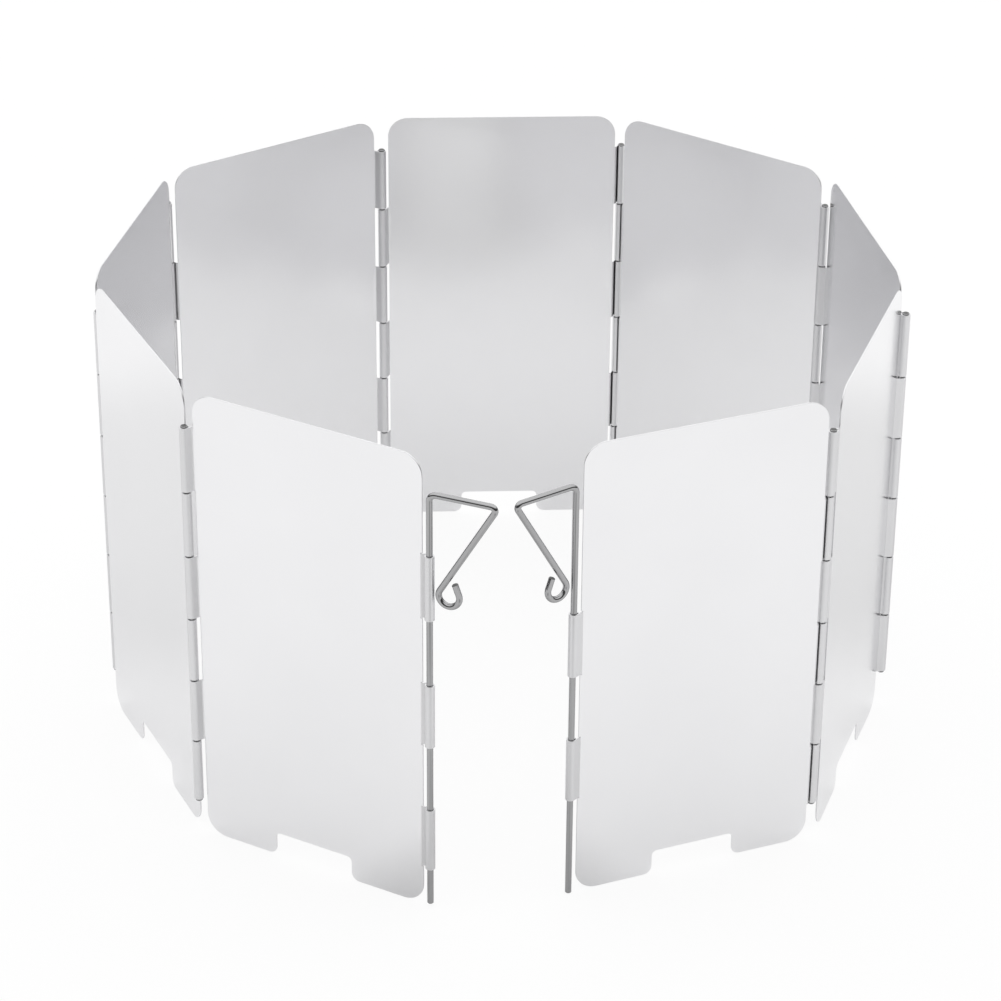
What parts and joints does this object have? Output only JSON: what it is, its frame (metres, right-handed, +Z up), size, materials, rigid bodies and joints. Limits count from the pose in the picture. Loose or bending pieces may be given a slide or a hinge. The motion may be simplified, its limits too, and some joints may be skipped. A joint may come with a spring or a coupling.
{
  "type": "stove windscreen",
  "caption": "Folding aluminium windscreen for a camping stove: hinged upright panels standing in a ring that is open at the front, with a wire ground stake at each free end.",
  "frame": {"origin": "on the ground, in the middle of the rectangle that the standing screen covers", "axes": "+Z is up, -Y points out of the open front, +X is to the right for someone who faces the open front; the rear centre panel lies along X"},
  "size_m": [0.221, 0.2204, 0.134],
  "materials": {
    "panel_aluminium": "satin, clear anodised sheet",
    "wire_steel": "drawn bright wire"
  },
  "bodies": {
    "front_left": {"front_left_panel": "panel_aluminium", "hinge_pin_1": "wire_steel"},
    "near_left": {"near_left_panel": "panel_aluminium", "hinge_pin_2": "wire_steel"},
    "far_left": {"far_left_panel": "panel_aluminium", "hinge_pin_3": "wire_steel"},
    "rear_left": {"rear_left_panel": "panel_aluminium", "hinge_pin_4": "wire_steel"},
    "rear_centre": {"rear_centre_panel": "panel_aluminium", "hinge_pin_5": "wire_steel"},
    "rear_right": {"rear_right_panel": "panel_aluminium", "hinge_pin_6": "wire_steel"},
    "far_right": {"far_right_panel": "panel_aluminium", "hinge_pin_7": "wire_steel"},
    "near_right": {"near_right_panel": "panel_aluminium", "hinge_pin_8": "wire_steel"},
    "front_right": {"front_right_panel": "panel_aluminium"},
    "left_stake": {"left_stake": "wire_steel"},
    "right_stake": {"right_stake": "wire_steel"}
  },
  "joints": [
    {"name": "hinge_4", "type": "hinge", "parent": "rear_centre", "child": "rear_left", "pos_m": [-0.03136, 0.10674, 0], "axis": [0, 0, 1], "range_deg": [0, 148.28]},
    {"name": "hinge_3", "type": "hinge", "parent": "rear_left", "child": "far_left", "pos_m": [-0.09333, 0.07102, 0], "axis": [0, 0, 1], "range_deg": [-223.74, 0]},
    {"name": "hinge_2", "type": "hinge", "parent": "far_left", "child": "near_left", "pos_m": [-0.10917, 0.00126, 0], "axis": [0, 0, 1], "range_deg": [0, 142.79]},
    {"name": "hinge_1", "type": "hinge", "parent": "near_left", "child": "front_left", "pos_m": [-0.08365, -0.06556, 0], "axis": [0, 0, 1], "range_deg": [-215.74, 0]},
    {"name": "hinge_5", "type": "hinge", "parent": "rear_centre", "child": "rear_right", "pos_m": [0.04014, 0.10894, 0], "axis": [0, 0, 1], "range_deg": [0, 217.22]},
    {"name": "hinge_6", "type": "hinge", "parent": "rear_right", "child": "far_right", "pos_m": [0.09575, 0.06394, 0], "axis": [0, 0, 1], "range_deg": [-136.29, 0]},
    {"name": "hinge_7", "type": "hinge", "parent": "far_right", "child": "near_right", "pos_m": [0.10917, -0.00632, 0], "axis": [0, 0, 1], "range_deg": [0, 210.24]},
    {"name": "hinge_8", "type": "hinge", "parent": "near_right", "child": "front_right", "pos_m": [0.08131, -0.0722, 0], "axis": [0, 0, 1], "range_deg": [-130.79, 0]},
    {"name": "left_stake_slide", "type": "slide", "parent": "front_left", "child": "left_stake", "axis": [0, 0, 1], "range_m": [-0.015, 0.095]},
    {"name": "right_stake_slide", "type": "slide", "parent": "front_right", "child": "right_stake", "axis": [0, 0, 1], "range_m": [-0.0345, 0.075]}
  ],
  "couplings": [
    {"joint": "hinge_3", "follows": "hinge_4", "ratio": -1.5088},
    {"joint": "hinge_2", "follows": "hinge_4", "ratio": 0.96291},
    {"joint": "hinge_1", "follows": "hinge_4", "ratio": -1.4548},
    {"joint": "hinge_6", "follows": "hinge_5", "ratio": -0.62737},
    {"joint": "hinge_7", "follows": "hinge_5", "ratio": 0.96777},
    {"joint": "hinge_8", "follows": "hinge_5", "ratio": -0.60205}
  ]
}
